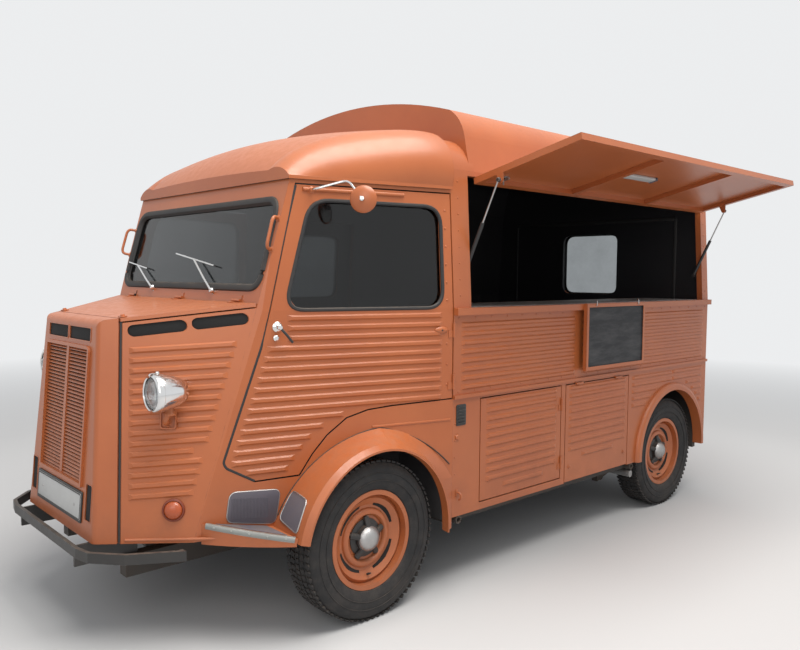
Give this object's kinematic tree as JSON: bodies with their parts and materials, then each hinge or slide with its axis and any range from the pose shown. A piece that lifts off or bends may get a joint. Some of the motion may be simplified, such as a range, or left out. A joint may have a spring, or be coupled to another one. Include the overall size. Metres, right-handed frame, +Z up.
{
  "type": "food truck",
  "caption": "Small panel van turned food truck: faceted ribbed nose, domed cab roof, raised load roof, serving hatch over a counter, hinged doors and steering wheels.",
  "frame": {"origin": "on the ground under the middle of the whole vehicle with its open hatch; the vehicle's own centre plane is the plane Y = -0.2516 m, and the front axle is at X = 1.0285 m", "axes": "+X to the nose, +Y to the serving side on the vehicle's left, +Z up"},
  "size_m": [4.193, 2.5012, 2.405],
  "materials": {
    "body_paint": "semi-gloss",
    "dark_paint": "satin",
    "chassis_paint": "matt",
    "tyre_rubber": "matt",
    "glass": "gloss",
    "bright_metal": "polished",
    "cast_metal": "rough",
    "step_metal": "worn",
    "seat_cover": "satin",
    "board": "matt",
    "counter_paint": "semi-gloss",
    "steel": "satin"
  },
  "bodies": {
    "chassis": {"floor": "chassis_paint", "side_left": "body_paint", "window_frame": "body_paint", "side_right": "body_paint", "jack_sockets": "chassis_paint", "body_roof": "body_paint", "rear_frame": "body_paint", "cab_frame": "body_paint", "cab_floor": "dark_paint", "footwells": "dark_paint", "engine_cover": "dark_paint", "cab_roof": "body_paint", "windscreen": "glass", "nose_shell": "body_paint", "grille": "body_paint", "nose_sides": "body_paint", "front_wings": "body_paint", "cab_steps": "step_metal", "front_bumper": "dark_paint", "rear_bumper": "dark_paint", "headlamps": "bright_metal", "counter": "counter_paint", "menu_board": "board", "engine": "cast_metal", "exhaust": "steel", "seats": "seat_cover", "steering_wheel": "dark_paint", "dashboard": "dark_paint", "wishbones": "chassis_paint", "rear_axle": "chassis_paint"},
    "bonnet_lid": {"bonnet": "body_paint"},
    "cab_door_left": {"door_left": "body_paint", "door_left_pane": "glass", "mirror_left": "body_paint"},
    "cab_door_right": {"door_right": "body_paint", "door_right_pane": "glass", "mirror_right": "body_paint"},
    "serving_hatch": {"hatch": "body_paint"},
    "rear_strut_tube": {"strut_tube_rear": "dark_paint"},
    "rear_strut_rod": {"strut_rod_rear": "steel"},
    "front_strut_tube": {"strut_tube_front": "dark_paint"},
    "front_strut_rod": {"strut_rod_front": "steel"},
    "locker_lid": {"locker_door": "body_paint"},
    "flap_lid": {"side_flap": "body_paint"},
    "tail_lid": {"tailgate": "body_paint", "tailgate_pane": "glass"},
    "rear_leaf_left": {"rear_door_left": "body_paint"},
    "rear_leaf_right": {"rear_door_right": "body_paint"},
    "side_slider": {"sliding_door": "body_paint", "sliding_door_pane": "glass"},
    "steering_left": {"knuckle_left": "chassis_paint"},
    "steering_right": {"knuckle_right": "chassis_paint"},
    "roller_front_left": {"tyre_front_left": "tyre_rubber", "wheel_front_left": "body_paint"},
    "roller_front_right": {"tyre_front_right": "tyre_rubber", "wheel_front_right": "body_paint"},
    "roller_rear_left": {"tyre_rear_left": "tyre_rubber", "wheel_rear_left": "body_paint"},
    "roller_rear_right": {"tyre_rear_right": "tyre_rubber", "wheel_rear_right": "body_paint"}
  },
  "joints": [
    {"name": "door_left_swing", "type": "hinge", "parent": "chassis", "child": "cab_door_left", "pos_m": [0.5665, 0.68358, 1.12], "axis": [0, 0, 1], "range_deg": [0, 70]},
    {"name": "door_right_swing", "type": "hinge", "parent": "chassis", "child": "cab_door_right", "pos_m": [0.5665, -1.18686, 1.12], "axis": [0, 0, -1], "range_deg": [0, 70]},
    {"name": "bonnet_swing", "type": "hinge", "parent": "chassis", "child": "bonnet_lid", "pos_m": [1.46634, -0.25164, 1.38187], "axis": [0, -1, 0], "range_deg": [0, 50]},
    {"name": "hatch_swing", "type": "hinge", "parent": "chassis", "child": "serving_hatch", "pos_m": [-0.7235, 0.64789, 1.95935], "axis": [-1, 0, 0], "range_deg": [0, 99.61]},
    {"name": "rear_strut_swing", "type": "hinge", "parent": "chassis", "child": "rear_strut_tube", "pos_m": [-1.8755, 0.61636, 1.504], "axis": [1, 0, 0], "range_deg": [0, 30.12]},
    {"name": "rear_strut_slide", "type": "slide", "parent": "rear_strut_tube", "child": "rear_strut_rod", "axis": [0, -0.4266, -0.9045], "range_m": [0, 0.17811]},
    {"name": "front_strut_swing", "type": "hinge", "parent": "chassis", "child": "front_strut_tube", "pos_m": [0.4285, 0.61636, 1.504], "axis": [1, 0, 0], "range_deg": [0, 30.12]},
    {"name": "front_strut_slide", "type": "slide", "parent": "front_strut_tube", "child": "front_strut_rod", "axis": [0, -0.4266, -0.9045], "range_m": [0, 0.17811]},
    {"name": "locker_swing", "type": "hinge", "parent": "chassis", "child": "locker_lid", "pos_m": [-0.2905, 0.68436, 0.64], "axis": [0, 0, 1], "range_deg": [0, 90]},
    {"name": "flap_swing", "type": "hinge", "parent": "chassis", "child": "flap_lid", "pos_m": [-0.6515, 0.68436, 0.902], "axis": [1, 0, 0], "range_deg": [0, 85]},
    {"name": "tailgate_swing", "type": "hinge", "parent": "chassis", "child": "tail_lid", "pos_m": [-1.9775, -0.25164, 1.897], "axis": [0, 1, 0], "range_deg": [0, 85]},
    {"name": "rear_left_swing", "type": "hinge", "parent": "chassis", "child": "rear_leaf_left", "pos_m": [-1.9775, 0.44536, 0.76], "axis": [0, 0, -1], "range_deg": [0, 110]},
    {"name": "rear_right_swing", "type": "hinge", "parent": "chassis", "child": "rear_leaf_right", "pos_m": [-1.9775, -0.94864, 0.76], "axis": [0, 0, 1], "range_deg": [0, 110]},
    {"name": "side_slider_run", "type": "slide", "parent": "chassis", "child": "side_slider", "axis": [-1, 0, 0], "range_m": [0, 0.7]},
    {"name": "steering", "type": "hinge", "parent": "chassis", "child": "steering_left", "pos_m": [1.0285, 0.52336, 0.35], "axis": [0, 0, 1], "range_deg": [-28, 28]},
    {"name": "steering_follow", "type": "hinge", "parent": "chassis", "child": "steering_right", "pos_m": [1.0285, -1.02664, 0.35], "axis": [0, 0, 1], "range_deg": [-28, 28]},
    {"name": "front_left_roll", "type": "hinge", "parent": "steering_left", "child": "roller_front_left", "pos_m": [1.0285, 0.58336, 0.35], "axis": [0, 1, 0], "continuous": true},
    {"name": "front_right_roll", "type": "hinge", "parent": "steering_right", "child": "roller_front_right", "pos_m": [1.0285, -1.08664, 0.35], "axis": [0, 1, 0], "continuous": true},
    {"name": "rear_left_roll", "type": "hinge", "parent": "chassis", "child": "roller_rear_left", "pos_m": [-1.5015, 0.56336, 0.35], "axis": [0, 1, 0], "continuous": true},
    {"name": "rear_right_roll", "type": "hinge", "parent": "chassis", "child": "roller_rear_right", "pos_m": [-1.5015, -1.06664, 0.35], "axis": [0, 1, 0], "continuous": true}
  ],
  "couplings": [
    {"joint": "steering_follow", "follows": "steering", "ratio": 1},
    {"joint": "rear_strut_swing", "follows": "hatch_swing", "ratio": 0.3024},
    {"joint": "rear_strut_slide", "follows": "hatch_swing", "m_per_rad": 0.10245},
    {"joint": "front_strut_swing", "follows": "hatch_swing", "ratio": 0.3024},
    {"joint": "front_strut_slide", "follows": "hatch_swing", "m_per_rad": 0.10245}
  ]
}
